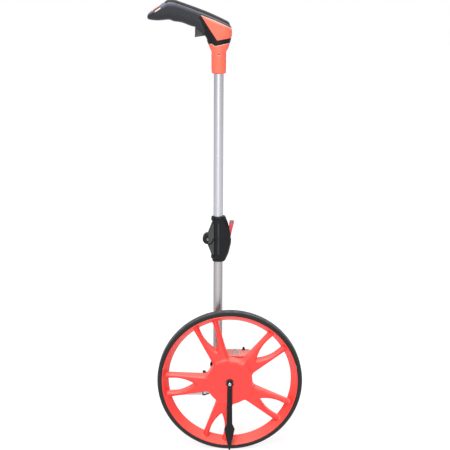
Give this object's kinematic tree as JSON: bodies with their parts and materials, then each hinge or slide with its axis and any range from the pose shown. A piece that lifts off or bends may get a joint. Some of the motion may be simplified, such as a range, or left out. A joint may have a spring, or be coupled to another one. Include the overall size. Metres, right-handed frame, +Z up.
{
  "type": "measuring wheel",
  "caption": "Folding one-metre measuring wheel with forked spokes, pistol grip, brake trigger, counter box, pointer and swing-down stand.",
  "frame": {"origin": "where the middle of the tyre touches the ground, straight under the axle", "axes": "+X is the way the wheel rolls, +Y runs along the axle from the pointer's side to the counter's side, +Z is up"},
  "size_m": [0.3344, 0.094, 0.9754],
  "materials": {
    "tyre": "matt black, fine tread",
    "orange": "satin moulded",
    "black": "satin moulded",
    "gloss_black": "semi-gloss moulded",
    "rubber": "soft-touch, matt",
    "red": "semi-gloss moulded",
    "tube": "satin anodised, drawn lines",
    "leg": "satin",
    "steel": "bright zinc",
    "nylon": "natural nylon",
    "window": "clear plastic, polished",
    "cable": "matt sleeve"
  },
  "bodies": {
    "chassis": {"gearbox_front_shell": "orange", "gearbox_rear_shell": "orange", "gearbox_screw_1": "steel", "gearbox_screw_2": "steel", "gearbox_screw_3": "steel", "gearbox_screw_4": "steel", "tube_bolt": "steel", "counter_window": "window", "counter_shaft": "steel", "idler_pin": "steel", "axle": "steel", "axle_nut": "steel", "pointer_screw": "steel", "reset_pin": "steel", "brake_spring": "steel", "stand_bracket": "black", "stand_pin": "steel", "lower_tube": "tube", "brake_cable_lower": "cable", "lower_joint_housing": "black", "lower_clamp_bolt": "steel", "hinge_bolt": "steel", "hinge_nut": "steel"},
    "wheel": {"tyre": "tyre", "wheel_spider": "orange", "front_bearing": "steel", "rear_bearing": "steel", "wheel_pinion": "nylon"},
    "pointer": {"pointer": "black"},
    "stand": {"stand_leg": "leg", "stand_foot": "rubber"},
    "upper_pole": {"upper_joint_housing": "black", "upper_clamp_bolt": "steel", "upper_tube": "tube", "brake_cable_upper": "cable", "handle_front_shell": "orange", "handle_rear_shell": "orange", "handle_screw_1": "steel", "handle_screw_2": "steel", "grip_rubber": "rubber", "top_strip": "gloss_black", "neck_band": "black", "trigger_pin": "steel", "trigger_spring": "steel", "lever_pin": "steel", "lever_spring": "steel"},
    "lock_lever": {"lock_lever": "red"},
    "trigger": {"trigger": "gloss_black"},
    "brake_pad": {"brake_pad": "rubber"},
    "reset_lever": {"reset_lever": "black"},
    "idler": {"idler_gear": "nylon"},
    "counter": {"counter_gear": "nylon", "digit_drum_1": "nylon"},
    "drum_2": {"digit_drum_2": "black"},
    "drum_3": {"digit_drum_3": "black"},
    "drum_4": {"digit_drum_4": "black"},
    "drum_5": {"digit_drum_5": "black"}
  },
  "joints": [
    {"name": "wheel_spin", "type": "hinge", "parent": "chassis", "child": "wheel", "pos_m": [0, 0, 0.15915], "axis": [0, 1, 0], "continuous": true},
    {"name": "pointer_swing", "type": "hinge", "parent": "chassis", "child": "pointer", "pos_m": [0, -0.022, 0.15915], "axis": [0, 1, 0], "continuous": true},
    {"name": "stand_swing", "type": "hinge", "parent": "chassis", "child": "stand", "pos_m": [-0.051, 0.017, 0.12466], "axis": [0, -1, 0], "range_deg": [0, 78], "stiffness_Nm_per_rad": 0.06, "springref_deg": -40.11},
    {"name": "pole_fold", "type": "hinge", "parent": "chassis", "child": "upper_pole", "pos_m": [-0.0493, 0.038, 0.4712], "axis": [0, -1, 0], "range_deg": [0, 170]},
    {"name": "lever_release", "type": "hinge", "parent": "upper_pole", "child": "lock_lever", "pos_m": [-0.0035, 0.038, 0.4772], "axis": [0, 1, 0], "range_deg": [0, 40], "stiffness_Nm_per_rad": 0.005, "springref_deg": -11.46},
    {"name": "trigger_pull", "type": "hinge", "parent": "upper_pole", "child": "trigger", "pos_m": [-0.057, 0.038, 0.912], "axis": [0, 1, 0], "range_deg": [0, 14], "stiffness_Nm_per_rad": 0.002, "springref_deg": -11.46},
    {"name": "brake_slide", "type": "slide", "parent": "chassis", "child": "brake_pad", "axis": [0, -1, 0], "range_m": [0, 0.0015]},
    {"name": "reset_rock", "type": "hinge", "parent": "chassis", "child": "reset_lever", "pos_m": [0.031, 0.055, 0.19515], "axis": [0, 1, 0], "range_deg": [0, 18], "stiffness_Nm_per_rad": 0.0005, "springref_deg": -11.46},
    {"name": "idler_spin", "type": "hinge", "parent": "chassis", "child": "idler", "pos_m": [0.00675, 0.022, 0.17713], "axis": [0, 1, 0], "continuous": true},
    {"name": "counter_spin", "type": "hinge", "parent": "chassis", "child": "counter", "pos_m": [0.0135, 0.022, 0.1951], "axis": [0, 1, 0], "continuous": true},
    {"name": "drum_2_spin", "type": "hinge", "parent": "chassis", "child": "drum_2", "pos_m": [0.0135, 0.022, 0.1951], "axis": [0, 1, 0], "continuous": true},
    {"name": "drum_3_spin", "type": "hinge", "parent": "chassis", "child": "drum_3", "pos_m": [0.0135, 0.022, 0.1951], "axis": [0, 1, 0], "continuous": true},
    {"name": "drum_4_spin", "type": "hinge", "parent": "chassis", "child": "drum_4", "pos_m": [0.0135, 0.022, 0.1951], "axis": [0, 1, 0], "continuous": true},
    {"name": "drum_5_spin", "type": "hinge", "parent": "chassis", "child": "drum_5", "pos_m": [0.0135, 0.022, 0.1951], "axis": [0, 1, 0], "continuous": true}
  ],
  "couplings": [
    {"joint": "idler_spin", "follows": "wheel_spin", "ratio": -0.71429},
    {"joint": "counter_spin", "follows": "wheel_spin", "ratio": 1},
    {"joint": "drum_2_spin", "follows": "wheel_spin", "ratio": 0.1},
    {"joint": "drum_3_spin", "follows": "wheel_spin", "ratio": 0.01},
    {"joint": "drum_4_spin", "follows": "wheel_spin", "ratio": 0.001},
    {"joint": "drum_5_spin", "follows": "wheel_spin", "ratio": 0.0001},
    {"joint": "brake_slide", "follows": "trigger_pull", "m_per_rad": 0.006139}
  ]
}
